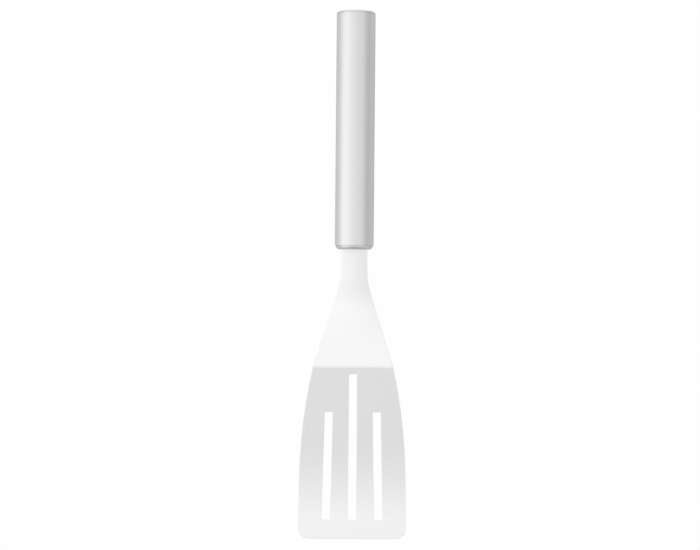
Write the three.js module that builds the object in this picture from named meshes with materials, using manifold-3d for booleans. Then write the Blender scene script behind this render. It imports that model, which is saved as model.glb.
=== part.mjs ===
// A slotted kitchen spatula: a hollow round steel handle that holds a one-piece stamped steel blade.
// Millimetres. +Y points from the blade's tip to the handle's closed end, +Z is up.
// The spatula lies on a table at z = 0, on the underside of its handle and of the blade's fold.
// "Reach" is the distance from the handle's front face towards the tip, seen from above.
// Inside the handle, reach is negative.

import * as THREE from "three";
import { mergeVertices } from "three/addons/utils/BufferGeometryUtils.js";
import Module from "manifold-3d";

// Handle tube and its caps
const HANDLE_DIAMETER = 25;
const HANDLE_LENGTH = 152.3;
const TUBE_WALL = 0.8;
const END_ROUNDING = 1.5;
const END_INSET = 0.8;
const END_CAP_WALL = 1.2;
const END_CAP_SKIRT = 10;
const NOSE_DEPTH = 2.2;
const NOSE_STEP = 0.55;
const NOSE_INSET = 2;
const NOSE_BULGE = 0.25;
const FRONT_CAP_THICKNESS = 5;
const FRONT_CAP_SKIRT = 4;
const FRONT_CAP_WALL = 1.2;

// Sheet of the blade, in side view
const SHEET_THICKNESS = 1;
const NECK_STRAIGHT = 27.5;
const NECK_BEND_RADIUS = 40;
const FOLD_REACH = 76.2;
const FOLD_INSIDE_RADIUS = 5;
const BLADE_RISE = THREE.MathUtils.degToRad(15);
const BLADE_FLAT = 47;
const CURVE_RADIUS = 320;
const TIP_LIFT = THREE.MathUtils.degToRad(9);
const BLADE_REACH = 106.6;
const TIP_BEVEL = 4;
const TIP_THICKNESS = 0.4;

// Sheet of the blade, seen from above
const NECK_WIDTH = 16.9;
const NECK_LENGTH = 21;
const NECK_FILLET = 48;
const FOLD_WIDTH = 51.9;
const BLADE_WIDTH = 68;
const BLADE_SHOULDER = 36;
const BLADE_FULL_WIDTH_AT = 73;
const TIP_CORNER = 6.3;

// Crown of the neck: how far its edges droop, and between which reaches it flattens out
const CROWN_HEIGHT = 0.9;
const CROWN_FADE_FROM = 34;
const CROWN_FADE_TO = 68;

// Drain slots, with distances measured from the fold and from the tip
const CENTRE_SLOT_START = 4.7;
const OUTER_SLOT_START = 28.9;
const SLOT_TIP_MARGIN = 11.2;
const SLOT_START_WIDTH = 5.25;
const SLOT_END_WIDTH = 5.55;
const SLOT_START_PITCH = 15.5;
const SLOT_END_PITCH = 16.65;
const SLOT_CORNER = 0.8;

// Tang and what grips it inside the tube
const TANG_LENGTH = 66;
const TANG_WIDTH = 14;
const TANG_TAPER = 4;
const CORE_COVER = 5;
const PIN_DIAMETER = 4;
const PIN_INSET = 13;

// Gaps between neighbouring pieces
const CLEARANCE = 0.3;
const SEAM_GAP = 0.08;

// Facets
const ROUND_SEGMENTS = 48;
const PIN_SEGMENTS = 24;
const ARC_STEPS = 5;
const SHEET_COLUMNS = 10;
const SHANK_STEPS = 8;
const OUTLINE_STEPS = 16;
const SMALLEST_STEP = 0.05;

// Sizes that follow from the ones above
const HANDLE_RADIUS = HANDLE_DIAMETER / 2;
const TUBE_BORE_RADIUS = HANDLE_RADIUS - TUBE_WALL;
const PLUG_RADIUS = TUBE_BORE_RADIUS - CLEARANCE;
const NECK_HALF = NECK_WIDTH / 2;
const FOLD_HALF = FOLD_WIDTH / 2;
const BLADE_HALF = BLADE_WIDTH / 2;
const TANG_HALF = TANG_WIDTH / 2;
const TIP_REACH = FOLD_REACH + BLADE_REACH;
const SLOT_END_REACH = TIP_REACH - SLOT_TIP_MARGIN;
const OUTER_SLOT_REACH = FOLD_REACH + OUTER_SLOT_START;
const SEAL_FRONT = FRONT_CAP_THICKNESS + CLEARANCE;
const CORE_FRONT = FRONT_CAP_THICKNESS + FRONT_CAP_SKIRT + CLEARANCE;
const CORE_BACK = TANG_LENGTH + CORE_COVER;
const PIN_RADIUS = PIN_DIAMETER / 2;
const CUTTER_THICKNESS = SHEET_THICKNESS + 2 * CLEARANCE;

const wasm = await Module();
wasm.setup();

// A closed three.js geometry as a solid that can be cut
function solidOf(geometry) {
  const bare = geometry.clone();
  bare.deleteAttribute("normal");
  bare.deleteAttribute("uv");
  const merged = mergeVertices(bare);
  const vertProperties = merged.attributes.position.array;
  const triVerts = new Uint32Array(merged.index.array);
  return new wasm.Manifold(new wasm.Mesh({ numProp: 3, vertProperties, triVerts }));
}

// A cut solid as a three.js geometry
function geometryOf(solid) {
  const mesh = solid.getMesh();
  const geometry = new THREE.BufferGeometry();
  geometry.setAttribute("position", new THREE.BufferAttribute(mesh.vertProperties, mesh.numProp));
  geometry.setIndex(new THREE.BufferAttribute(mesh.triVerts, 1));
  geometry.computeVertexNormals();
  return geometry;
}

function cut(solid, cutters) {
  return cutters.reduce((rest, cutter) => rest.subtract(cutter), solid);
}

// A turned piece: its profile is [radius, y] points in the order that keeps the material on the left
function turned(points) {
  const profile = points.map(([radius, y]) => new THREE.Vector2(radius, y));
  return new THREE.LatheGeometry(profile, ROUND_SEGMENTS);
}

// Side profile of the sheet's middle surface, as straight and round spans from the neck to the tip.
// The shank drops just enough to bring the fold's underside level with the handle's underside.
function sideProfile() {
  const foldRadius = FOLD_INSIDE_RADIUS + SHEET_THICKNESS / 2;
  const drop = HANDLE_RADIUS - SHEET_THICKNESS / 2;
  const run = FOLD_REACH - NECK_STRAIGHT;
  const bothRadii = NECK_BEND_RADIUS + foldRadius;
  const reachToCentre = Math.hypot(run, bothRadii - drop);
  const shankAngle = Math.atan2(run, bothRadii - drop) - Math.acos(bothRadii / reachToCentre);
  const curveStart = FOLD_REACH + BLADE_FLAT;
  const curveRun = CURVE_RADIUS * (Math.sin(BLADE_RISE + TIP_LIFT) - Math.sin(BLADE_RISE));
  const spans = [
    { from: -TANG_LENGTH },
    { from: NECK_STRAIGHT, radius: -NECK_BEND_RADIUS },
    { from: NECK_STRAIGHT + NECK_BEND_RADIUS * Math.sin(shankAngle) },
    { from: FOLD_REACH - foldRadius * Math.sin(shankAngle), radius: foldRadius },
    { from: FOLD_REACH + foldRadius * Math.sin(BLADE_RISE) },
    { from: curveStart, radius: CURVE_RADIUS },
    { from: curveStart + curveRun },
  ];
  let state = { z: 0, heading: 0 };
  spans.forEach((span, i) => {
    Object.assign(span, state);
    if (i + 1 < spans.length) state = alongSpan(span, spans[i + 1].from);
  });
  return spans;
}

// Height and upward heading on one span, at a reach on it
function alongSpan(span, reach) {
  const run = reach - span.from;
  if (!span.radius) return { z: span.z + run * Math.tan(span.heading), heading: span.heading };
  const heading = Math.asin(Math.sin(span.heading) + run / span.radius);
  return { z: span.z + span.radius * (Math.cos(span.heading) - Math.cos(heading)), heading };
}

const SIDE_PROFILE = sideProfile();

function profileAt(reach) {
  const span = SIDE_PROFILE.findLast(({ from }) => from <= reach) ?? SIDE_PROFILE[0];
  return alongSpan(span, reach);
}

// Flare of the shank from the neck's corner to the fold, with the fillet where it leaves the neck
const FLARE_SLOPE = (FOLD_HALF - NECK_HALF) / (FOLD_REACH - NECK_LENGTH);
const FLARE_ANGLE = Math.atan(FLARE_SLOPE);
const FILLET_FROM = NECK_LENGTH - NECK_FILLET * Math.tan(FLARE_ANGLE / 2);
const FILLET_TO = FILLET_FROM + NECK_FILLET * Math.sin(FLARE_ANGLE);

// Half width that a round corner takes away, at a distance from the end it rounds
function cornerLoss(distance, radius) {
  const inset = Math.max(radius - Math.max(distance, 0), 0);
  return radius - Math.sqrt(radius * radius - inset * inset);
}

// The blade's side is one curve with a control point: from the fold's width to the full width
function bladeHalfAt(reach) {
  const q = Math.min(reach - FOLD_REACH, BLADE_FULL_WIDTH_AT);
  const bend = BLADE_FULL_WIDTH_AT - 2 * BLADE_SHOULDER;
  const t = q / (BLADE_SHOULDER + Math.sqrt(BLADE_SHOULDER * BLADE_SHOULDER + bend * q));
  return BLADE_HALF - (BLADE_HALF - FOLD_HALF) * (1 - t) * (1 - t);
}

// Half width that the neck's fillet adds, at a distance along the neck from where it starts
function filletGain(run) {
  return NECK_FILLET - Math.sqrt(NECK_FILLET * NECK_FILLET - run * run);
}

// Half width of the whole sheet, from the tang's end to the tip
function sheetHalfAt(reach) {
  if (reach > FOLD_REACH) return bladeHalfAt(reach) - cornerLoss(TIP_REACH - reach, TIP_CORNER);
  if (reach > FILLET_TO) return NECK_HALF + (reach - NECK_LENGTH) * FLARE_SLOPE;
  if (reach > FILLET_FROM) return NECK_HALF + filletGain(reach - FILLET_FROM);
  const taper = THREE.MathUtils.clamp((-reach - FRONT_CAP_THICKNESS) / TANG_TAPER, 0, 1);
  return THREE.MathUtils.lerp(NECK_HALF, TANG_HALF, taper);
}

// Droop of the crowned neck below its ridge, and its sideways tilt, at x across the sheet.
// The crown rises out of the flat tang and flattens out again along the shank.
function crownAt(reach, x) {
  const half = Math.max(sheetHalfAt(reach), NECK_HALF);
  const starts = THREE.MathUtils.smoothstep(reach, -FRONT_CAP_THICKNESS - TANG_TAPER, -FRONT_CAP_THICKNESS);
  const fades = THREE.MathUtils.smoothstep(reach, CROWN_FADE_FROM, CROWN_FADE_TO);
  const height = CROWN_HEIGHT * starts * (1 - fades);
  const droop = height * (x / half) ** 2;
  return { droop, tilt: Math.atan((2 * height * x) / half ** 2) };
}

// A point of the bent sheet, at an offset above its middle surface
function sheetPoint(reach, x, offset) {
  const { z, heading } = profileAt(reach);
  const { droop, tilt } = crownAt(reach, x);
  const lift = offset * Math.cos(tilt) - droop;
  return new THREE.Vector3(
    x + offset * Math.sin(tilt),
    -reach + lift * Math.sin(heading),
    z + lift * Math.cos(heading),
  );
}

// A closed piece of bent sheet between the first and the last station, both in reach.
// Its underside can be ground away, by a depth that varies with the reach.
function bentSheet({ stations, halfAt, centreAt = () => 0, groundAt = () => 0, thickness, columns }) {
  const rows = stations.length - 1;
  const geometry = new THREE.BoxGeometry(2, rows, 2, columns, rows, 1);
  const position = geometry.attributes.position;
  for (let i = 0; i < position.count; i += 1) {
    const reach = stations[Math.round(rows / 2 - position.getY(i))];
    const x = centreAt(reach) + position.getX(i) * halfAt(reach);
    const offset = position.getZ(i) > 0 ? thickness / 2 : groundAt(reach) - thickness / 2;
    const point = sheetPoint(reach, x, offset);
    position.setXYZ(i, point.x, point.y, point.z);
  }
  return geometry;
}

// Evenly spaced stations over spans of [from, to, steps], sorted, without near repeats
function stationsOver(spans) {
  const all = spans.flatMap(([from, to, steps]) =>
    Array.from({ length: steps + 1 }, (_, i) => THREE.MathUtils.lerp(from, to, i / steps)),
  );
  all.sort((a, b) => a - b);
  return all.filter((reach, i) => i === 0 || reach - all[i - 1] > SMALLEST_STEP);
}

// Spans that follow a round corner: from its end of the outline, inwards along the sign
function cornerSpans(end, sign, radius) {
  const at = (i) => end + sign * radius * (1 - Math.sin((i / ARC_STEPS) * (Math.PI / 2)));
  return Array.from({ length: ARC_STEPS }, (_, i) => [at(i), at(i + 1), 1]);
}

function slotCutter(start, centreAt) {
  const widthAt = (reach) =>
    THREE.MathUtils.mapLinear(reach, start, SLOT_END_REACH, SLOT_START_WIDTH, SLOT_END_WIDTH);
  const halfAt = (reach) =>
    widthAt(reach) / 2 -
    cornerLoss(reach - start, SLOT_CORNER) -
    cornerLoss(SLOT_END_REACH - reach, SLOT_CORNER);
  const stations = stationsOver([
    [start + SLOT_CORNER, SLOT_END_REACH - SLOT_CORNER, OUTLINE_STEPS],
    ...cornerSpans(start, 1, SLOT_CORNER),
    ...cornerSpans(SLOT_END_REACH, -1, SLOT_CORNER),
  ]);
  return solidOf(bentSheet({ stations, halfAt, centreAt, thickness: CUTTER_THICKNESS, columns: 1 }));
}

function slotCutters() {
  const pitchAt = (reach) =>
    THREE.MathUtils.mapLinear(reach, OUTER_SLOT_REACH, SLOT_END_REACH, SLOT_START_PITCH, SLOT_END_PITCH);
  return [
    slotCutter(FOLD_REACH + CENTRE_SLOT_START, () => 0),
    slotCutter(OUTER_SLOT_REACH, pitchAt),
    slotCutter(OUTER_SLOT_REACH, (reach) => -pitchAt(reach)),
  ];
}

// Cross pins stand upright in the tang, one near each end of the liner, and stop short of the bore
const FRONT_PIN_AT = CORE_FRONT + PIN_INSET;
const REAR_PIN_AT = TANG_LENGTH - PIN_INSET;
const PIN_LENGTH = 2 * Math.sqrt(PLUG_RADIUS * PLUG_RADIUS - PIN_RADIUS * PIN_RADIUS);

function pinShape(y, radius, length) {
  const geometry = new THREE.CylinderGeometry(radius, radius, length, PIN_SEGMENTS);
  geometry.rotateX(Math.PI / 2);
  geometry.translate(0, y, 0);
  return geometry;
}

function pinHoles() {
  const hole = (y) => solidOf(pinShape(y, PIN_RADIUS + CLEARANCE, HANDLE_DIAMETER));
  return [hole(FRONT_PIN_AT), hole(REAR_PIN_AT)];
}

// Space that the neck and tang need in the pieces around them
function tangSpace() {
  const stations = stationsOver([
    [-TANG_LENGTH - CLEARANCE, -FRONT_CAP_THICKNESS - TANG_TAPER, 1],
    [-FRONT_CAP_THICKNESS - TANG_TAPER, -FRONT_CAP_THICKNESS, ARC_STEPS],
    [-FRONT_CAP_THICKNESS, CLEARANCE, 1],
  ]);
  const halfAt = (reach) => sheetHalfAt(reach) + CLEARANCE;
  return solidOf(bentSheet({ stations, halfAt, thickness: CUTTER_THICKNESS, columns: SHEET_COLUMNS }));
}

// Depth ground off the underside, towards the tip's thin edge
function tipGrindAt(reach) {
  const share = THREE.MathUtils.clamp((reach - TIP_REACH) / TIP_BEVEL + 1, 0, 1);
  return share * (SHEET_THICKNESS - TIP_THICKNESS);
}

function blade() {
  const stations = stationsOver([
    [-TANG_LENGTH, -FRONT_CAP_THICKNESS - TANG_TAPER, 1],
    [-FRONT_CAP_THICKNESS - TANG_TAPER, -FRONT_CAP_THICKNESS, ARC_STEPS],
    [-FRONT_CAP_THICKNESS, FILLET_FROM, 2],
    [FILLET_FROM, FILLET_TO, ARC_STEPS],
    [FILLET_TO, FOLD_REACH, SHANK_STEPS],
    ...SIDE_PROFILE.slice(1).map(({ from, radius }, i, list) => {
      const to = list[i + 1]?.from ?? TIP_REACH - TIP_CORNER;
      return [from, to, radius ? ARC_STEPS : 1];
    }),
    [FOLD_REACH, FOLD_REACH + BLADE_FULL_WIDTH_AT, OUTLINE_STEPS],
    ...cornerSpans(TIP_REACH, -1, TIP_CORNER),
    [TIP_REACH - TIP_BEVEL, TIP_REACH, 1],
  ]);
  const sheet = bentSheet({
    stations,
    halfAt: sheetHalfAt,
    groundAt: tipGrindAt,
    thickness: SHEET_THICKNESS,
    columns: SHEET_COLUMNS,
  });
  return geometryOf(cut(solidOf(sheet), [...slotCutters(), ...pinHoles()]));
}

function handleTube() {
  const front = NOSE_DEPTH + SEAM_GAP;
  const back = HANDLE_LENGTH - END_ROUNDING - SEAM_GAP;
  return turned([
    [TUBE_BORE_RADIUS, front],
    [HANDLE_RADIUS, front],
    [HANDLE_RADIUS, back],
    [TUBE_BORE_RADIUS, back],
    [TUBE_BORE_RADIUS, front],
  ]);
}

// Turned cup: a flat end with a round edge that carries on from the tube, and a skirt in the bore
function endCap() {
  const rim = HANDLE_LENGTH - END_ROUNDING;
  const floor = rim - END_CAP_WALL;
  const skirtEnd = rim - END_CAP_SKIRT;
  const edge = Array.from({ length: ARC_STEPS + 1 }, (_, i) => {
    const angle = (i / ARC_STEPS) * (Math.PI / 2);
    return [HANDLE_RADIUS - END_INSET * (1 - Math.cos(angle)), rim + END_ROUNDING * Math.sin(angle)];
  });
  return turned([
    [0, floor],
    [PLUG_RADIUS - END_CAP_WALL, floor],
    [PLUG_RADIUS - END_CAP_WALL, skirtEnd],
    [PLUG_RADIUS, skirtEnd],
    [PLUG_RADIUS, rim],
    ...edge,
    [0, HANDLE_LENGTH],
  ]);
}

// Nose that tapers from just inside the tube's edge, with a slot for the neck and a skirt in the bore
function frontCap() {
  const edge = new THREE.Vector2(HANDLE_RADIUS - NOSE_INSET, 0);
  const shoulder = new THREE.Vector2(HANDLE_RADIUS - NOSE_STEP, NOSE_DEPTH);
  const outward = new THREE.Vector2(NOSE_DEPTH, NOSE_STEP - NOSE_INSET).setLength(2 * NOSE_BULGE);
  const control = edge.clone().lerp(shoulder, 1 / 2).add(outward);
  const nose = new THREE.QuadraticBezierCurve(edge, control, shoulder).getPoints(ARC_STEPS);
  const back = FRONT_CAP_THICKNESS + FRONT_CAP_SKIRT;
  const cap = turned([
    [0, 0],
    ...nose.map(({ x, y }) => [x, y]),
    [PLUG_RADIUS, NOSE_DEPTH],
    [PLUG_RADIUS, back],
    [PLUG_RADIUS - FRONT_CAP_WALL, back],
    [PLUG_RADIUS - FRONT_CAP_WALL, FRONT_CAP_THICKNESS],
    [0, FRONT_CAP_THICKNESS],
  ]);
  return geometryOf(cut(solidOf(cap), [tangSpace()]));
}

// Rubber washer that fills the front cap's skirt around the tang
function neckSeal() {
  const radius = PLUG_RADIUS - FRONT_CAP_WALL - CLEARANCE;
  const back = CORE_FRONT - CLEARANCE;
  const washer = turned([
    [0, SEAL_FRONT],
    [radius, SEAL_FRONT],
    [radius, back],
    [0, back],
  ]);
  return geometryOf(cut(solidOf(washer), [tangSpace()]));
}

// One half of the liner: a half-round bar, grooved for the tang and bored for the pins
function coreHalf(turn) {
  const parting = CLEARANCE / 2;
  const start = Math.asin(parting / PLUG_RADIUS);
  const section = new THREE.Shape().absarc(0, 0, PLUG_RADIUS, start, Math.PI - start, false);
  const bar = new THREE.ExtrudeGeometry(section, {
    depth: CORE_BACK - CORE_FRONT,
    bevelEnabled: false,
    curveSegments: ROUND_SEGMENTS / 2,
  });
  bar.rotateX(Math.PI / 2);
  bar.translate(0, CORE_BACK, 0);
  bar.rotateY(turn);
  return geometryOf(cut(solidOf(bar), [tangSpace(), ...pinHoles()]));
}

// Finishes
const BLADE_STEEL = { color: 0xf5f5f5, roughness: 0.3, metalness: 1 };
const HANDLE_STEEL = { color: 0xe7e7e7, roughness: 0.46, metalness: 1 };
const CAP_STEEL = { color: 0xdddddd, roughness: 0.42, metalness: 1 };
const PIN_STEEL = { color: 0xcbcbcb, roughness: 0.35, metalness: 1 };
const RUBBER = { color: 0x3a3a3a, roughness: 0.8, metalness: 0 };
const LINER_PLASTIC = { color: 0x8c8c8c, roughness: 0.6, metalness: 0 };

function piece(name, geometry, finish) {
  const mesh = new THREE.Mesh(geometry, new THREE.MeshStandardMaterial(finish));
  mesh.name = name;
  return mesh;
}

function tangPin(name, y) {
  return piece(name, pinShape(y, PIN_RADIUS, PIN_LENGTH), PIN_STEEL);
}

// Everything is built around the handle's axis, with the front face at y = 0
const assembly = new THREE.Group();
assembly.add(
  piece("blade", blade(), BLADE_STEEL),
  piece("handle_tube", handleTube(), HANDLE_STEEL),
  piece("end_cap", endCap(), CAP_STEEL),
  piece("front_cap", frontCap(), CAP_STEEL),
  piece("neck_seal", neckSeal(), RUBBER),
  piece("core_upper", coreHalf(0), LINER_PLASTIC),
  piece("core_lower", coreHalf(Math.PI), LINER_PLASTIC),
  tangPin("tang_pin_front", FRONT_PIN_AT),
  tangPin("tang_pin_rear", REAR_PIN_AT),
);

// The origin lies on the table under the middle of the spatula's length
const extent = new THREE.Box3().setFromObject(assembly, true);
assembly.position.set(0, -(extent.min.y + extent.max.y) / 2, -extent.min.z);

const spatula = new THREE.Group();
spatula.add(assembly);

export default spatula;
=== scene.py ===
import math

import bmesh
import bpy
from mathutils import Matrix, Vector


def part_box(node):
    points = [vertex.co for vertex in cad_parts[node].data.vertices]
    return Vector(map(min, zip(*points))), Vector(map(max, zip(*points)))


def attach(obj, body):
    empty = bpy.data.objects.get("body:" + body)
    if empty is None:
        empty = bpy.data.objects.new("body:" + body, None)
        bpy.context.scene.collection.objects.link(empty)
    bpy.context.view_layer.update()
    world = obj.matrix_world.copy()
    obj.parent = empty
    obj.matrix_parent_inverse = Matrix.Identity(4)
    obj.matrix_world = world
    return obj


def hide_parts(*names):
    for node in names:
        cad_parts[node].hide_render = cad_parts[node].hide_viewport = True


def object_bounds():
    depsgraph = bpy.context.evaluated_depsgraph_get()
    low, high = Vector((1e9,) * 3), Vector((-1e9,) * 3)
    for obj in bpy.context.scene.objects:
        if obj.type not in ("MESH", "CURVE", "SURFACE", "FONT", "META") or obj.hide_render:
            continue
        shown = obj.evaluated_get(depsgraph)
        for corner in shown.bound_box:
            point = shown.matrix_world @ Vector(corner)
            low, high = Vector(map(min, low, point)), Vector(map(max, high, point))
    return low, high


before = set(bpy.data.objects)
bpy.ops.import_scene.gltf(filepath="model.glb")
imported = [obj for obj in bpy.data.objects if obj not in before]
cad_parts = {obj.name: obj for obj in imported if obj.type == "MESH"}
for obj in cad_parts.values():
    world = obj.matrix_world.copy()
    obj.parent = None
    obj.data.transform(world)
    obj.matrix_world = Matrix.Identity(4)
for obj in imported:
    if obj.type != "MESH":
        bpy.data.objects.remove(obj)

# The looks of a slotted steel spatula, modelled over its solids. The handle runs along +Y, +Z is up.
# Sizes are millimetres, as on a drawing, and become metres where a mesh is made.
# "Reach" is the distance from the handle's front face towards the blade's tip, seen from above.
# Inside the handle, reach is negative.

CAD_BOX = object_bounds()
MM = 0.001

# Place and size of the handle, from its solids
TUBE_LOW, TUBE_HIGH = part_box("handle_tube")
FRONT_FACE_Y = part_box("front_cap")[0].y
AXIS_Z = (TUBE_LOW.z + TUBE_HIGH.z) / 2
HANDLE_RADIUS = (TUBE_HIGH.x - TUBE_LOW.x) / 2 / MM
HANDLE_LENGTH = (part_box("end_cap")[1].y - FRONT_FACE_Y) / MM
TUBE_FRONT = (TUBE_LOW.y - FRONT_FACE_Y) / MM

# Handle tube and its caps
TUBE_WALL = 0.8
CLEARANCE = 0.3
END_ROUNDING = 1.5
END_INSET = 0.8
END_CAP_WALL = 1.2
END_CAP_SKIRT = 10
NOSE_DEPTH = 2.2
NOSE_STEP = 0.55
NOSE_INSET = 2
NOSE_BULGE = 0.25
FRONT_CAP_THICKNESS = 5
FRONT_CAP_SKIRT = 4
FRONT_CAP_WALL = 1.2
TUBE_FRONT_EDGE = 0.35
TUBE_BACK_EDGE = 0.02
END_SEAM = 0.02
HIDDEN_EDGE = 0.15

# Sheet of the blade, in side view
SHEET_THICKNESS = 1
NECK_STRAIGHT = 27.5
NECK_BEND_RADIUS = 40
FOLD_REACH = 76.2
FOLD_INSIDE_RADIUS = 5
BLADE_RISE = math.radians(15)
BLADE_FLAT = 47
CURVE_RADIUS = 320
TIP_LIFT = math.radians(9)
BLADE_REACH = 106.6
TIP_BEVEL = 4
TIP_THICKNESS = 0.4

# Sheet of the blade, seen from above
NECK_WIDTH = 16.9
NECK_LENGTH = 21
NECK_FILLET = 48
FOLD_WIDTH = 51.9
BLADE_WIDTH = 68
BLADE_SHOULDER = 36
BLADE_FULL_WIDTH_AT = 73
TIP_CORNER = 6.3
TANG_LENGTH = 66
TANG_WIDTH = 14
TANG_TAPER = 4
SHEET_EDGE = 0.15

# Crown of the neck: how far its edges droop, and between which reaches it flattens out
CROWN_HEIGHT = 0.9
CROWN_FADE_FROM = 34
CROWN_FADE_TO = 68

# Drain slots, with distances measured from the fold and from the tip
CENTRE_SLOT_START = 4.7
OUTER_SLOT_START = 28.9
SLOT_TIP_MARGIN = 11.2
SLOT_START_WIDTH = 5.25
SLOT_END_WIDTH = 5.55
SLOT_START_PITCH = 15.5
SLOT_END_PITCH = 16.65
SLOT_CORNER = 0.8

# Cross pins in the tang, and their near-round holes
PIN_DIAMETER = 4
PIN_INSET = 13
PIN_HOLE_CORNER = 2.05

# Sizes that follow from the ones above
PLUG_RADIUS = HANDLE_RADIUS - TUBE_WALL - CLEARANCE
NECK_HALF = NECK_WIDTH / 2
FOLD_HALF = FOLD_WIDTH / 2
BLADE_HALF = BLADE_WIDTH / 2
TANG_HALF = TANG_WIDTH / 2
TIP_REACH = FOLD_REACH + BLADE_REACH
CENTRE_SLOT_REACH = FOLD_REACH + CENTRE_SLOT_START
OUTER_SLOT_REACH = FOLD_REACH + OUTER_SLOT_START
SLOT_END_REACH = TIP_REACH - SLOT_TIP_MARGIN
LINER_FRONT = FRONT_CAP_THICKNESS + FRONT_CAP_SKIRT + CLEARANCE
PIN_HOLE_REACHES = (PIN_INSET - TANG_LENGTH, -LINER_FRONT - PIN_INSET)
PIN_HOLE_WIDTH = PIN_DIAMETER + 2 * CLEARANCE

# Fineness of the meshes
ROUND_SEGMENTS = 192
EDGE_STEPS = 5
CURVE_STEPS = 14
ROW_STEP = 1.4
BEND_STEP = 0.3
PLAIN_COLUMNS = 8
SLOT_COLUMNS = 6
SMALLEST_STEP = 0.04
LONGEST_MITRE = 2
SHARP_FROM = math.radians(50)

# Range that noise mostly stays in
NOISE_LOW = 0.25
NOISE_HIGH = 0.75

# Finish of steel: noise per metre across and along its scratches and over its clouds, and its strength
SHEET_SCRATCHES = 14000
TURNED_SCRATCHES = 6000
SCRATCHES_ALONG = 50
SCRATCH_DEPTH = 0.4e-6
SCRATCH_DETAIL = 4
CLOUDS = 45
CLOUD_DETAIL = 3
CLOUD_SHARE = 0.3
STEEL_GREY_SPREAD = 0.012
STEEL_GLOSS_SPREAD = 0.04

# Finish of plastic and rubber: noise per metre of the flow marks and the grain, and its strength
FLOW_MARKS = (90, 30, 90)
FLOW_DETAIL = 2
FLOW_SPREAD = 0.1
GRAIN_DETAIL = 3
GRAIN_DEPTH = 0.03e-3
GRAIN_GLOSS_SPREAD = 0.08

# Camera straight above, with the picture's scale at the handle's axis
PICTURE_WIDTH = 700
PIXEL_SIZE = 0.644
LENS = 82
SENSOR = 36
CAMERA_ROLL = math.radians(0.505)
CAMERA_X = -2.55
CAMERA_Y = -1.36

# Soft light of a studio tent, as brightness against one component of the direction it comes from:
# across from the left at -1 to the right at 1, and along from beyond the tip to beyond the handle
LIGHT_ACROSS = (
    (-1, 1.36),
    (-0.78, 1.4),
    (-0.55, 1.22),
    (-0.3, 1.085),
    (0, 1.055),
    (0.3, 0.93),
    (0.67, 1.05),
    (0.79, 0.86),
    (1, 0.38),
)
LIGHT_ALONG = (
    (-1, 0.08),
    (-0.85, 0.25),
    (-0.72, 1.045),
    (-0.5, 1.015),
    (-0.28, 0.94),
    (0, 0.925),
    (0.17, 0.9),
    (0.27, 0.8),
    (0.43, 0.575),
    (0.615, 1),
    (1, 1.1),
)

# Floor: its width in metres, its grey, how much of what the camera and the steel see of it is plain
# white, and how far it lies below the spatula
FLOOR_SIZE = 20
FLOOR_COLOUR = 0.66
FLOOR_WHITE = 0.985
FLOOR_GLOSS_WHITE = 0.15
FLOOR_DROP = 0.05


def lerp(a, b, t):
    return a + (b - a) * t


def clamp(value, low, high):
    return max(low, min(high, value))


def map_linear(value, low, high, at_low, at_high):
    return lerp(at_low, at_high, (value - low) / (high - low))


def smooth_step(value, low, high):
    t = clamp((value - low) / (high - low), 0, 1)
    return t * t * (3 - 2 * t)


def quarter_turn(steps):
    """Angles from nothing to a right angle."""
    return [i / steps * math.pi / 2 for i in range(steps + 1)]


def placed(x, y, z):
    """A point given from the middle of the handle's front face, in millimetres, in the shared frame."""
    return Vector((x * MM, FRONT_FACE_Y + y * MM, AXIS_Z + z * MM))


# Side profile of the sheet's middle surface


def along_span(span, reach):
    """Height and upward heading on a straight or round span, at a reach on it."""
    start, radius, z, heading = span
    run = reach - start
    if not radius:
        return z + run * math.tan(heading), heading
    turned_to = math.asin(math.sin(heading) + run / radius)
    return z + radius * (math.cos(heading) - math.cos(turned_to)), turned_to


def side_profile():
    """Spans as (start, radius, height, heading). The fold's underside is level with the handle's."""
    fold_radius = FOLD_INSIDE_RADIUS + SHEET_THICKNESS / 2
    drop = HANDLE_RADIUS - SHEET_THICKNESS / 2
    run = FOLD_REACH - NECK_STRAIGHT
    both_radii = NECK_BEND_RADIUS + fold_radius
    to_centre = math.hypot(run, both_radii - drop)
    shank_angle = math.atan2(run, both_radii - drop) - math.acos(both_radii / to_centre)
    curve_start = FOLD_REACH + BLADE_FLAT
    curve_run = CURVE_RADIUS * (math.sin(BLADE_RISE + TIP_LIFT) - math.sin(BLADE_RISE))
    starts = (
        (-TANG_LENGTH, 0),
        (NECK_STRAIGHT, -NECK_BEND_RADIUS),
        (NECK_STRAIGHT + NECK_BEND_RADIUS * math.sin(shank_angle), 0),
        (FOLD_REACH - fold_radius * math.sin(shank_angle), fold_radius),
        (FOLD_REACH + fold_radius * math.sin(BLADE_RISE), 0),
        (curve_start, CURVE_RADIUS),
        (curve_start + curve_run, 0),
    )
    spans = []
    z, heading = 0, 0
    for start, radius in starts:
        if spans:
            z, heading = along_span(spans[-1], start)
        spans.append((start, radius, z, heading))
    return spans


SIDE_PROFILE = side_profile()


def profile_at(reach):
    span = next((s for s in reversed(SIDE_PROFILE) if s[0] <= reach), SIDE_PROFILE[0])
    return along_span(span, reach)


# Outline of the sheet and of its openings, seen from above

FLARE_SLOPE = (FOLD_HALF - NECK_HALF) / (FOLD_REACH - NECK_LENGTH)
FLARE_ANGLE = math.atan(FLARE_SLOPE)
FILLET_FROM = NECK_LENGTH - NECK_FILLET * math.tan(FLARE_ANGLE / 2)
FILLET_TO = FILLET_FROM + NECK_FILLET * math.sin(FLARE_ANGLE)


def corner_loss(distance, radius):
    """Half width that a round corner takes away, at a distance from the end it rounds."""
    inset = max(radius - max(distance, 0), 0)
    return radius - math.sqrt(radius * radius - inset * inset)


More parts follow.
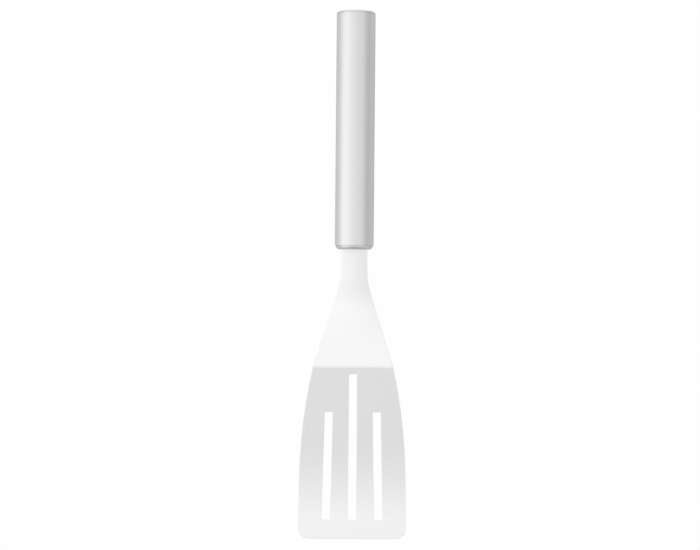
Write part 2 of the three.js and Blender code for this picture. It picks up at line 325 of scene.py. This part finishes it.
def blade_half_at(reach):
    """The blade's side is one curve from the fold's width to the full width."""
    run = min(reach - FOLD_REACH, BLADE_FULL_WIDTH_AT)
    bend = BLADE_FULL_WIDTH_AT - 2 * BLADE_SHOULDER
    t = run / (BLADE_SHOULDER + math.sqrt(BLADE_SHOULDER**2 + bend * run))
    return BLADE_HALF - (BLADE_HALF - FOLD_HALF) * (1 - t) ** 2


def sheet_half_at(reach):
    """Half width of the sheet, inside its rounded edge."""
    if reach > FOLD_REACH:
        to_tip = TIP_REACH - SHEET_EDGE - reach
        half = blade_half_at(reach) - corner_loss(to_tip, TIP_CORNER - SHEET_EDGE)
    elif reach > FILLET_TO:
        half = NECK_HALF + (reach - NECK_LENGTH) * FLARE_SLOPE
    elif reach > FILLET_FROM:
        run = reach - FILLET_FROM
        half = NECK_HALF + NECK_FILLET - math.sqrt(NECK_FILLET**2 - run * run)
    else:
        taper = clamp((-reach - FRONT_CAP_THICKNESS) / TANG_TAPER, 0, 1)
        half = lerp(NECK_HALF, TANG_HALF, taper)
    return half - SHEET_EDGE


class Opening:
    """A slot or hole along the sheet, widened to the outside of its rounded edge."""

    def __init__(self, start, end, start_width, end_width, corner):
        self.start = start - SHEET_EDGE
        self.end = end + SHEET_EDGE
        self.start_width = start_width
        self.end_width = end_width
        self.corner = corner + SHEET_EDGE

    def holds(self, reach):
        return self.start < reach < self.end

    def half_at(self, reach):
        reach = clamp(reach, self.start, self.end)
        width = map_linear(reach, self.start, self.end, self.start_width, self.end_width)
        loss = corner_loss(reach - self.start, self.corner) + corner_loss(self.end - reach, self.corner)
        return width / 2 + SHEET_EDGE - loss


def pin_hole(reach):
    half = PIN_HOLE_WIDTH / 2
    return Opening(reach - half, reach + half, PIN_HOLE_WIDTH, PIN_HOLE_WIDTH, PIN_HOLE_CORNER)


def drain_slot(start):
    return Opening(start, SLOT_END_REACH, SLOT_START_WIDTH, SLOT_END_WIDTH, SLOT_CORNER)


OUTER_SLOT = drain_slot(OUTER_SLOT_REACH)
CENTRE_OPENINGS = [pin_hole(reach) for reach in PIN_HOLE_REACHES] + [drain_slot(CENTRE_SLOT_REACH)]


def centre_half_at(reach):
    """Half width of the column of openings on the centre line, and of the strips that link them."""
    before = [opening for opening in CENTRE_OPENINGS if opening.start <= reach]
    after = [opening for opening in CENTRE_OPENINGS if opening.end >= reach]
    if not before:
        return after[0].half_at(reach)
    if not after or before[-1] is after[0]:
        return before[-1].half_at(reach)
    last, following = before[-1], after[0]
    return map_linear(reach, last.end, following.start, last.half_at(reach), following.half_at(reach))


def zone_edges_at(reach):
    """Where the row at a reach changes from plain sheet to a slot's column and back, left to right."""
    half = sheet_half_at(reach)
    on_slot = clamp(reach, OUTER_SLOT.start, OUTER_SLOT.end)
    pitch = map_linear(on_slot, OUTER_SLOT_REACH, SLOT_END_REACH, SLOT_START_PITCH, SLOT_END_PITCH)
    shrink = half / sheet_half_at(OUTER_SLOT.start) if reach < OUTER_SLOT.start else 1
    inner = (pitch - OUTER_SLOT.half_at(reach)) * shrink
    outer = (pitch + OUTER_SLOT.half_at(reach)) * shrink
    centre = centre_half_at(reach)
    return [-half, -outer, -inner, -centre, centre, inner, outer, half]


ZONE_COLUMNS = (PLAIN_COLUMNS, SLOT_COLUMNS) * 3 + (PLAIN_COLUMNS,)
SLOT_ZONES = {1: [OUTER_SLOT], 3: CENTRE_OPENINGS, 5: [OUTER_SLOT]}


# The sheet as a mesh


def steps_over(start, end, step):
    count = max(1, math.ceil((end - start) / step))
    return [lerp(start, end, i / count) for i in range(count + 1)]


def corner_rows(end, sign, radius):
    """Rows that follow a round corner: from its end of the outline, inwards along the sign."""
    return [end + sign * radius * (1 - math.sin(angle)) for angle in quarter_turn(CURVE_STEPS)]


def sheet_rows():
    """Reach of every row of the sheet's grid, from the tang's end to the tip."""
    first = -TANG_LENGTH + SHEET_EDGE
    last = TIP_REACH - SHEET_EDGE
    starts = [span[0] for span in SIDE_PROFILE[1:]] + [last]
    rows = steps_over(first, starts[0], ROW_STEP)
    for span, end in zip(SIDE_PROFILE[1:], starts[1:]):
        sharp = 0 < span[1] < CURVE_RADIUS
        rows += steps_over(span[0], end, BEND_STEP if sharp else ROW_STEP)
    for opening in CENTRE_OPENINGS + [OUTER_SLOT]:
        rows += corner_rows(opening.start, 1, opening.corner)
        rows += corner_rows(opening.end, -1, opening.corner)
    rows += corner_rows(last, -1, TIP_CORNER - SHEET_EDGE)
    needed = {opening.start for opening in CENTRE_OPENINGS} | {opening.end for opening in CENTRE_OPENINGS}
    needed |= {OUTER_SLOT.start, OUTER_SLOT.end, TIP_REACH - TIP_BEVEL, first, last}
    return thinned(rows, needed)


def thinned(rows, needed):
    """Rows in order, without near repeats. The needed ones always stay."""
    kept = sorted(needed)
    for row in sorted(rows):
        if all(abs(row - other) > SMALLEST_STEP for other in kept):
            kept.append(row)
    return sorted(kept)


def crown_droop(reach, x):
    """Droop of the crowned neck below its ridge, and the sideways tilt there."""
    half = max(sheet_half_at(reach) + SHEET_EDGE, NECK_HALF)
    starts = smooth_step(reach, -FRONT_CAP_THICKNESS - TANG_TAPER, -FRONT_CAP_THICKNESS)
    fades = smooth_step(reach, CROWN_FADE_FROM, CROWN_FADE_TO)
    height = CROWN_HEIGHT * starts * (1 - fades)
    return height * (x / half) ** 2, math.atan(2 * height * x / half**2)


def tip_grind_at(reach):
    """Depth ground off the underside, towards the tip's thin edge."""
    share = clamp((reach - TIP_REACH) / TIP_BEVEL + 1, 0, 1)
    return share * (SHEET_THICKNESS - TIP_THICKNESS)


def sheet_point(reach, x, offset):
    """A point of the bent sheet, at an offset above its middle surface."""
    z, heading = profile_at(reach)
    droop, tilt = crown_droop(reach, x)
    lift = offset * math.cos(tilt) - droop
    return placed(
        x + offset * math.sin(tilt),
        -reach + lift * math.sin(heading),
        z + lift * math.cos(heading),
    )


def sheet_grid():
    """The sheet seen from above: (x, -reach) points, and its four-sided cells, without the openings."""
    rows = sheet_rows()
    points = []
    for reach in rows:
        edges = zone_edges_at(reach)
        for zone, columns in enumerate(ZONE_COLUMNS):
            points += [(lerp(edges[zone], edges[zone + 1], i / columns), -reach) for i in range(columns)]
        points.append((edges[-1], -reach))
    width = sum(ZONE_COLUMNS) + 1
    zone_of = [zone for zone, columns in enumerate(ZONE_COLUMNS) for _ in range(columns)]
    cells = []
    for row in range(len(rows) - 1):
        middle = (rows[row] + rows[row + 1]) / 2
        for column, zone in enumerate(zone_of):
            if any(opening.holds(middle) for opening in SLOT_ZONES.get(zone, ())):
                continue
            corner = row * width + column
            cells.append((corner, corner + width, corner + width + 1, corner + 1))
    return used_only(points, cells)


def used_only(points, cells):
    """The points that the cells use, and the cells with their new numbers."""
    used = sorted({index for cell in cells for index in cell})
    number = {old: new for new, old in enumerate(used)}
    return [points[i] for i in used], [tuple(number[i] for i in cell) for cell in cells]


def border_of(points, cells):
    """Border edges of a flat grid, with the sheet on their left, and the outward push of their points."""
    directed = {(cell[i], cell[(i + 1) % 4]) for cell in cells for i in range(4)}
    border = [edge for edge in directed if edge[::-1] not in directed]
    outward = {}
    for a, b in sorted(border):
        along = Vector(points[b]) - Vector(points[a])
        normal = Vector((along.y, -along.x)).normalized()
        for end in (a, b):
            outward.setdefault(end, []).append(normal)
    pushes = {}
    for end, normals in outward.items():
        middle = sum(normals, Vector((0, 0))).normalized()
        pushes[end] = middle * min(1 / middle.dot(normals[0]), LONGEST_MITRE)
    return sorted(border), pushes


def edge_profile():
    """Outward share and offset of each layer of the sheet's rounded edge, from the top face down."""
    straight = SHEET_THICKNESS / 2 - SHEET_EDGE
    angles = quarter_turn(EDGE_STEPS)
    upper = [(math.sin(angle), straight + SHEET_EDGE * math.cos(angle)) for angle in angles]
    return upper + [(out, -offset) for out, offset in reversed(upper)]


def sheet_mesh():
    """Points and faces of the whole sheet, with round edges all about."""
    grid, cells = sheet_grid()
    border, pushes = border_of(grid, cells)
    layers = edge_profile()
    points, numbers = [], []
    for level, (out, offset) in enumerate(layers):
        whole = level in (0, len(layers) - 1)
        indices = range(len(grid)) if whole else sorted(pushes)
        numbers.append({index: len(points) + i for i, index in enumerate(indices)})
        for index in indices:
            x, minus_reach = grid[index]
            if index in pushes:
                push = pushes[index] * (out * SHEET_EDGE)
                x, minus_reach = x + push.x, minus_reach + push.y
            ground = tip_grind_at(-minus_reach) if offset < 0 else 0
            points.append(sheet_point(-minus_reach, x, offset + ground))
    top, bottom = numbers[0], numbers[-1]
    faces = [tuple(top[i] for i in reversed(cell)) for cell in cells]
    faces += [tuple(bottom[i] for i in cell) for cell in cells]
    for upper, lower in zip(numbers, numbers[1:]):
        faces += [(upper[a], lower[a], lower[b], upper[b]) for a, b in border]
    return points, faces


# Turned pieces


def ring(radius, y):
    """A closed ring about the handle's axis."""
    angles = [2 * math.pi * i / ROUND_SEGMENTS for i in range(ROUND_SEGMENTS)]
    return [placed(radius * math.cos(angle), y, radius * math.sin(angle)) for angle in angles]


def rounded(corners):
    """An outline of (radius, y, rounding) corners with each corner replaced by an arc."""
    outline = []
    for i, (r, y, rounding) in enumerate(corners):
        here = Vector((r, y))
        if not rounding:
            outline.append(here)
            continue
        to_last = (Vector(corners[i - 1][:2]) - here).normalized()
        to_next = (Vector(corners[(i + 1) % len(corners)][:2]) - here).normalized()
        half_angle = to_last.angle(to_next) / 2
        centre = here + (to_last + to_next).normalized() * (rounding / math.sin(half_angle))
        first = here + to_last * (rounding / math.tan(half_angle)) - centre
        last = here + to_next * (rounding / math.tan(half_angle)) - centre
        for step in range(EDGE_STEPS + 1):
            towards = first.lerp(last, step / EDGE_STEPS).normalized()
            outline.append(centre + towards * rounding)
    return outline


def lofted(loops, closed):
    """Faces that join closed loops of points in order. A loop of one point is a pole."""
    points = [point for loop in loops for point in loop]
    starts = [sum(len(loop) for loop in loops[:i]) for i in range(len(loops))]
    pairs = list(zip(range(len(loops)), range(1, len(loops))))
    if closed:
        pairs.append((len(loops) - 1, 0))
    faces = []
    for a, b in pairs:
        for i in range(ROUND_SEGMENTS):
            j = (i + 1) % ROUND_SEGMENTS
            corners = [starts[a] + i % len(loops[a]), starts[a] + j % len(loops[a])]
            corners += [starts[b] + j % len(loops[b]), starts[b] + i % len(loops[b])]
            faces.append(tuple(dict.fromkeys(corners)))
    return points, faces


def turned_loops(outline):
    return [ring(r, y) if r > SMALLEST_STEP else [placed(0, y, 0)] for r, y in outline]


def tube_mesh():
    bore = HANDLE_RADIUS - TUBE_WALL
    back = HANDLE_LENGTH - END_ROUNDING - END_SEAM
    outline = rounded(
        [
            (bore, TUBE_FRONT, HIDDEN_EDGE),
            (HANDLE_RADIUS, TUBE_FRONT, TUBE_FRONT_EDGE),
            (HANDLE_RADIUS, back, TUBE_BACK_EDGE),
            (bore, back, HIDDEN_EDGE),
        ]
    )
    return lofted(turned_loops(outline), closed=True)


def end_cap_mesh():
    """Turned cup: a flat end with a round edge, and a skirt that plugs the bore."""
    rim = HANDLE_LENGTH - END_ROUNDING
    floor = rim - END_CAP_WALL
    skirt_end = rim - END_CAP_SKIRT
    cup = rounded(
        [
            (0, floor, 0),
            (PLUG_RADIUS - END_CAP_WALL, floor, HIDDEN_EDGE),
            (PLUG_RADIUS - END_CAP_WALL, skirt_end, HIDDEN_EDGE),
            (PLUG_RADIUS, skirt_end, HIDDEN_EDGE),
            (PLUG_RADIUS, rim, 0),
        ]
    )
    edge = []
    for angle in quarter_turn(CURVE_STEPS):
        inset = END_INSET * (1 - math.cos(angle))
        edge.append((HANDLE_RADIUS - inset, rim + END_ROUNDING * math.sin(angle)))
    return lofted(turned_loops(cup + edge + [(0, HANDLE_LENGTH)]), closed=False)


def neck_slot_loop(y, grow):
    """Outline of the front cap's slot for the neck, from its right end over the top."""
    half = NECK_HALF + CLEARANCE + grow
    thick = SHEET_THICKNESS / 2 + CLEARANCE + grow
    corner = thick / 2
    outline = []
    for sign in (1, -1):
        outline += slot_side(half, thick, corner, sign)
    return resampled([placed(x, y, z) for x, z in outline])


def slot_side(half, thick, corner, sign):
    """Top of the slot from right to left, or its bottom from left to right."""
    straight = half - corner
    xs = [sign * lerp(straight, -straight, i / ROUND_SEGMENTS) for i in range(ROUND_SEGMENTS + 1)]
    lead = []
    for angle in quarter_turn(EDGE_STEPS)[:-1]:
        x = sign * (straight + corner * math.cos(angle))
        lead.append((x, thick - corner + corner * math.sin(angle)))
    trail = [(-x, offset) for x, offset in reversed(lead)]
    flat = lead + [(x, thick) for x in xs] + trail
    return [(x, sign * offset - crown_droop(0, x)[0]) for x, offset in flat]


def resampled(loop):
    """As many points as a ring has, evenly spaced along a closed loop."""
    lengths = [0]
    for a, b in zip(loop, loop[1:] + loop[:1]):
        lengths.append(lengths[-1] + (b - a).length)
    spaced = []
    at = 0
    for i in range(ROUND_SEGMENTS):
        want = lengths[-1] * i / ROUND_SEGMENTS
        while lengths[at + 1] < want:
            at += 1
        share = (want - lengths[at]) / (lengths[at + 1] - lengths[at])
        spaced.append(loop[at].lerp(loop[(at + 1) % len(loop)], share))
    return spaced


def nose_outline():
    """The nose's slightly bulging taper, from the front face to the step at the tube's edge."""
    edge = Vector((HANDLE_RADIUS - NOSE_INSET, 0))
    shoulder = Vector((HANDLE_RADIUS - NOSE_STEP, NOSE_DEPTH))
    outward = Vector((NOSE_DEPTH, NOSE_STEP - NOSE_INSET)).normalized() * (2 * NOSE_BULGE)
    control = (edge + shoulder) / 2 + outward
    curve = []
    for i in range(CURVE_STEPS + 1):
        t = i / CURVE_STEPS
        curve.append(edge.lerp(control, t).lerp(control.lerp(shoulder, t), t))
    return curve


def front_cap_mesh():
    """Nose with a slot for the neck, and a skirt that plugs the bore."""
    back = FRONT_CAP_THICKNESS + FRONT_CAP_SKIRT
    skirt = rounded(
        [
            (PLUG_RADIUS, NOSE_DEPTH, 0),
            (PLUG_RADIUS, back, HIDDEN_EDGE),
            (PLUG_RADIUS - FRONT_CAP_WALL, back, HIDDEN_EDGE),
            (PLUG_RADIUS - FRONT_CAP_WALL, FRONT_CAP_THICKNESS, 0),
        ]
    )
    loops = [neck_slot_loop(FRONT_CAP_THICKNESS, 0)]
    for angle in quarter_turn(EDGE_STEPS):
        depth = HIDDEN_EDGE * (1 - math.sin(angle))
        loops.append(neck_slot_loop(depth, HIDDEN_EDGE * (1 - math.cos(angle))))
    loops += turned_loops(nose_outline() + skirt)
    return lofted(loops, closed=True)


# Finishes


def new_material(name):
    """A material with its nodes, its links and its shader."""
    material = bpy.data.materials.new(name)
    material.use_nodes = True
    nodes = material.node_tree.nodes
    return material, nodes, material.node_tree.links, nodes["Principled BSDF"]


def own_place(nodes):
    """Place in the object's own space, in metres."""
    return nodes.new("ShaderNodeTexCoord").outputs["Object"]


def turned_place(nodes, links):
    """Distance from the handle's axis, place along it and place across it, as one vector."""
    parts = nodes.new("ShaderNodeSeparateXYZ")
    links.new(own_place(nodes), parts.inputs["Vector"])
    from_axis = nodes.new("ShaderNodeCombineXYZ")
    links.new(parts.outputs["X"], from_axis.inputs["X"])
    links.new(math_node(nodes, links, "SUBTRACT", parts.outputs["Z"], AXIS_Z), from_axis.inputs["Z"])
    distance = nodes.new("ShaderNodeVectorMath")
    distance.operation = "LENGTH"
    links.new(from_axis.outputs["Vector"], distance.inputs[0])
    place = nodes.new("ShaderNodeCombineXYZ")
    links.new(distance.outputs["Value"], place.inputs["X"])
    links.new(parts.outputs["Y"], place.inputs["Y"])
    links.new(parts.outputs["X"], place.inputs["Z"])
    return place.outputs["Vector"]


def stretched_noise(nodes, links, place, scale, detail):
    """Noise over a place, finer along the axes with a larger scale, per metre."""
    stretch = nodes.new("ShaderNodeMapping")
    stretch.inputs["Scale"].default_value = scale
    noise = nodes.new("ShaderNodeTexNoise")
    noise.inputs["Scale"].default_value = 1
    noise.inputs["Detail"].default_value = detail
    links.new(place, stretch.inputs["Vector"])
    links.new(stretch.outputs["Vector"], noise.inputs["Vector"])
    return noise.outputs["Fac"]


def even_noise(nodes, links, fineness, detail):
    return stretched_noise(nodes, links, own_place(nodes), (fineness,) * 3, detail)


def mapped(nodes, links, value, low, high):
    """The usual range of noise, stretched over low to high."""
    spread = nodes.new("ShaderNodeMapRange")
    spread.inputs["From Min"].default_value = NOISE_LOW
    spread.inputs["From Max"].default_value = NOISE_HIGH
    spread.inputs["To Min"].default_value = low
    spread.inputs["To Max"].default_value = high
    links.new(value, spread.inputs["Value"])
    return spread.outputs["Result"]


def math_node(nodes, links, operation, a, b):
    node = nodes.new("ShaderNodeMath")
    node.operation = operation
    for socket, value in zip(node.inputs, (a, b)):
        if isinstance(value, (int, float)):
            socket.default_value = value
        else:
            links.new(value, socket)
    return node.outputs["Value"]


def grey_mix(nodes, links, share, dark, light):
    """A neutral colour between two greys."""
    ramp = nodes.new("ShaderNodeValToRGB")
    ramp.color_ramp.elements[0].color = (dark, dark, dark, 1)
    ramp.color_ramp.elements[1].color = (light, light, light, 1)
    links.new(share, ramp.inputs["Fac"])
    return ramp.outputs["Color"]


def bump(nodes, links, height, depth, shader):
    """Relief of that depth in metres."""
    node = nodes.new("ShaderNodeBump")
    node.inputs["Strength"].default_value = 1
    node.inputs["Distance"].default_value = depth
    links.new(height, node.inputs["Height"])
    links.new(node.outputs["Normal"], shader.inputs["Normal"])


def scratched_steel(parts, grey, roughness, scratches):
    """Makes a new material's parts into satin steel: scratches, and faint clouds from handling."""
    material, nodes, links, shader = parts
    shader.inputs["Metallic"].default_value = 1
    clouds = even_noise(nodes, links, CLOUDS, CLOUD_DETAIL)
    streaks = mapped(nodes, links, scratches, 0, 1 - CLOUD_SHARE)
    tone = math_node(nodes, links, "ADD", streaks, mapped(nodes, links, clouds, 0, CLOUD_SHARE))
    colour = grey_mix(nodes, links, tone, grey - STEEL_GREY_SPREAD, grey + STEEL_GREY_SPREAD)
    gloss_range = roughness - STEEL_GLOSS_SPREAD, roughness + STEEL_GLOSS_SPREAD
    gloss = mapped(nodes, links, scratches, *gloss_range)
    links.new(colour, shader.inputs["Base Color"])
    links.new(gloss, shader.inputs["Roughness"])
    bump(nodes, links, scratches, SCRATCH_DEPTH, shader)
    return material


def brushed_steel(name, grey, roughness, scale):
    """Steel with straight scratches, which lie closest along the axes with the larger scale."""
    parts = new_material(name)
    _, nodes, links, _ = parts
    scratches = stretched_noise(nodes, links, own_place(nodes), scale, SCRATCH_DETAIL)
    return scratched_steel(parts, grey, roughness, scratches)


def turned_steel(name, grey, roughness):
    """Steel with scratches that run around the handle's axis."""
    parts = new_material(name)
    _, nodes, links, _ = parts
    scale = (TURNED_SCRATCHES, TURNED_SCRATCHES, SCRATCHES_ALONG)
    scratches = stretched_noise(nodes, links, turned_place(nodes, links), scale, SCRATCH_DETAIL)
    return scratched_steel(parts, grey, roughness, scratches)


def moulded(name, grey, roughness, grain):
    """Plastic or rubber with a fine grain and faint flow marks."""
    material, nodes, links, shader = new_material(name)
    fine = even_noise(nodes, links, grain, GRAIN_DETAIL)
    flow = stretched_noise(nodes, links, own_place(nodes), FLOW_MARKS, FLOW_DETAIL)
    tone = mapped(nodes, links, flow, 0, 1)
    colour = grey_mix(nodes, links, tone, grey * (1 - FLOW_SPREAD), grey * (1 + FLOW_SPREAD))
    gloss = mapped(nodes, links, fine, roughness - GRAIN_GLOSS_SPREAD, roughness + GRAIN_GLOSS_SPREAD)
    links.new(colour, shader.inputs["Base Color"])
    links.new(gloss, shader.inputs["Roughness"])
    bump(nodes, links, fine, GRAIN_DEPTH, shader)
    return material


BLADE_STEEL = brushed_steel(
    "blade_satin",
    grey=0.915,
    roughness=0.3,
    scale=(SHEET_SCRATCHES, SCRATCHES_ALONG, SCRATCHES_ALONG),
)
PIN_STEEL = brushed_steel(
    "pin_drawn",
    grey=0.6,
    roughness=0.35,
    scale=(SHEET_SCRATCHES, SHEET_SCRATCHES, SCRATCHES_ALONG),
)
HANDLE_STEEL = turned_steel("handle_satin", grey=0.8, roughness=0.46)
# The caps have the tube's turned finish. Their grey is set below the tube's as painted shade, which
# darkens the reflection bands at the nose and at the handle's end.
CAP_STEEL_PAINTED_SHADE = turned_steel("cap_turned_painted_shade", grey=0.72, roughness=0.42)
LINER_PLASTIC = moulded("liner_moulded", grey=0.26, roughness=0.55, grain=2500)
SEAL_RUBBER = moulded("seal_rubber_matt", grey=0.04, roughness=0.75, grain=1800)


# Pieces


def new_piece(name, points, faces, material, node, slot):
    """A smooth closed mesh that stands for a solid of the frame."""
    mesh = bpy.data.meshes.new(name)
    mesh.from_pydata(points, [], faces)
    shape = bmesh.new()
    shape.from_mesh(mesh)
    bmesh.ops.recalc_face_normals(shape, faces=shape.faces)
    shape.to_mesh(mesh)
    shape.free()
    mesh.shade_smooth()
    mesh.set_sharp_from_angle(angle=SHARP_FROM)
    mesh.materials.append(material)
    piece = bpy.data.objects.new(name, mesh)
    bpy.context.collection.objects.link(piece)
    evener = piece.modifiers.new("flat_faces_stay_flat", "WEIGHTED_NORMAL")
    evener.keep_sharp = True
    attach(piece, "root")
    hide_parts(node)
    return piece


def make_blade():
    new_piece("blade_sheet", *sheet_mesh(), BLADE_STEEL, "blade", "blade_steel")


def make_handle():
    new_piece("handle_shell", *tube_mesh(), HANDLE_STEEL, "handle_tube", "handle_steel")
    new_piece("end_cap_cup", *end_cap_mesh(), CAP_STEEL_PAINTED_SHADE, "end_cap", "cap_steel")
    new_piece("front_cap_nose", *front_cap_mesh(), CAP_STEEL_PAINTED_SHADE, "front_cap", "cap_steel")


def finish_inner_nodes():
    """The pieces inside the handle keep their solids' shapes."""
    finishes = {
        "neck_seal": SEAL_RUBBER,
        "core_upper": LINER_PLASTIC,
        "core_lower": LINER_PLASTIC,
        "tang_pin_front": PIN_STEEL,
        "tang_pin_rear": PIN_STEEL,
    }
    for node, material in finishes.items():
        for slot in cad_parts[node].material_slots:
            slot.material = material


# Floor, light and camera


def any_of(nodes, links, values):
    total = values[0]
    for value in values[1:]:
        total = math_node(nodes, links, "MAXIMUM", total, value)
    return total


def floor_material():
    """Pale floor that is near white to the camera and keeps a faint shadow. Steel sees it pale too."""
    material, nodes, links, shader = new_material("floor_pale")
    nodes.remove(shader)
    pale = nodes.new("ShaderNodeBsdfDiffuse")
    pale.inputs["Color"].default_value = (FLOOR_COLOUR, FLOOR_COLOUR, FLOOR_COLOUR, 1)
    white = nodes.new("ShaderNodeEmission")
    path = nodes.new("ShaderNodeLightPath")
    seen = math_node(nodes, links, "MULTIPLY", path.outputs["Is Camera Ray"], FLOOR_WHITE)
    mirrored = any_of(nodes, links, [path.outputs["Is Glossy Ray"], path.outputs["Is Transmission Ray"]])
    mirrored = math_node(nodes, links, "MULTIPLY", mirrored, FLOOR_GLOSS_WHITE)
    mix = nodes.new("ShaderNodeMixShader")
    links.new(any_of(nodes, links, [seen, mirrored]), mix.inputs["Fac"])
    links.new(pale.outputs["BSDF"], mix.inputs[1])
    links.new(white.outputs["Emission"], mix.inputs[2])
    links.new(mix.outputs["Shader"], nodes["Material Output"].inputs["Surface"])
    return material


def make_floor():
    half = FLOOR_SIZE / 2
    mesh = bpy.data.meshes.new("floor")
    corners = [(-half, -half, 0), (half, -half, 0), (half, half, 0), (-half, half, 0)]
    mesh.from_pydata(corners, [], [(0, 1, 2, 3)])
    mesh.materials.append(floor_material())
    floor = bpy.data.objects.new("floor", mesh)
    floor.location.z = CAD_BOX[0].z - FLOOR_DROP * MM
    bpy.context.collection.objects.link(floor)


def brightness_ramp(nodes, links, component, stops):
    """Brightness over one component of a direction, from -1 to 1, in straight lines between stops."""
    place = nodes.new("ShaderNodeMapRange")
    place.inputs["From Min"].default_value = -1
    links.new(component, place.inputs["Value"])
    node = nodes.new("ShaderNodeValToRGB")
    ramp = node.color_ramp
    ramp.interpolation = "LINEAR"
    while len(ramp.elements) < len(stops):
        ramp.elements.new(1)
    for element, (at, level) in zip(ramp.elements, stops):
        element.position = (at + 1) / 2
        element.color = (level, level, level, 1)
    links.new(place.outputs["Result"], node.inputs["Fac"])
    return node.outputs["Color"]


def make_light():
    """A pale tent all round: brightest on the left, dark low on the right and low beyond the tip.

    The camera itself sees it as plain white.
    """
    world = bpy.data.worlds.new("studio_tent")
    world.use_nodes = True
    nodes, links = world.node_tree.nodes, world.node_tree.links
    direction = nodes.new("ShaderNodeTexCoord")
    parts = nodes.new("ShaderNodeSeparateXYZ")
    links.new(direction.outputs["Generated"], parts.inputs["Vector"])
    across = brightness_ramp(nodes, links, parts.outputs["X"], LIGHT_ACROSS)
    along = brightness_ramp(nodes, links, parts.outputs["Y"], LIGHT_ALONG)
    level = math_node(nodes, links, "MULTIPLY", across, along)
    path = nodes.new("ShaderNodeLightPath")
    level = math_node(nodes, links, "MAXIMUM", level, path.outputs["Is Camera Ray"])
    links.new(level, nodes["Background"].inputs["Color"])
    bpy.context.scene.world = world


def make_camera():
    data = bpy.data.cameras.new("camera")
    data.lens = LENS
    data.sensor_width = SENSOR
    distance = LENS * PICTURE_WIDTH * PIXEL_SIZE / SENSOR * MM
    data.clip_end = 2 * distance
    camera = bpy.data.objects.new("camera", data)
    camera.location = (CAMERA_X * MM, CAMERA_Y * MM, AXIS_Z + distance)
    camera.rotation_euler.z = CAMERA_ROLL
    bpy.context.collection.objects.link(camera)
    bpy.context.scene.camera = camera


bpy.context.scene.view_settings.view_transform = "Standard"
make_camera()
make_blade()
make_handle()
finish_inner_nodes()
make_floor()
make_light()
